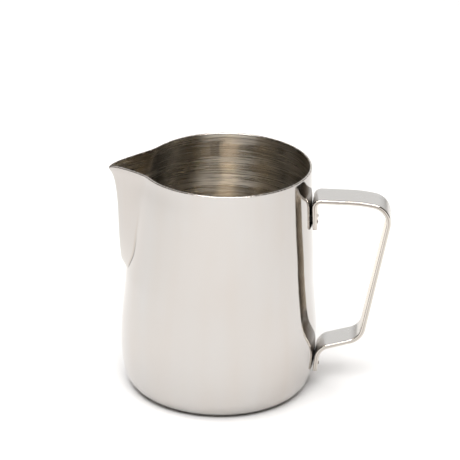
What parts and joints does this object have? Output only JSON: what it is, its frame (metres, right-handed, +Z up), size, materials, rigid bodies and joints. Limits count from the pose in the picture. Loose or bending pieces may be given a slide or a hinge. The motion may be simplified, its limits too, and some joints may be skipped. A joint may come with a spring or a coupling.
{
  "type": "milk frothing pitcher",
  "caption": "Deep-drawn stainless steel milk frothing pitcher with a pressed, pointed pouring spout and a flat bent strap handle spot-welded to its back.",
  "frame": {"origin": "centre of the base, on the jug's axis, at the plane it stands on", "axes": "+Z up along the jug's axis; the spout points along -X and the handle along +X; symmetric about the XZ plane"},
  "size_m": [0.1286, 0.0904, 0.108],
  "materials": {
    "polished_steel": "mirror polished outside, fine circumferential spinning lines inside",
    "satin_steel": "satin, lightly brushed along the strap",
    "weld_steel": "dull fused metal"
  },
  "bodies": {
    "root": {"jug_body": "polished_steel", "handle_strap": "satin_steel", "upper_spot_welds": "weld_steel", "lower_spot_welds": "weld_steel"}
  },
  "joints": []
}
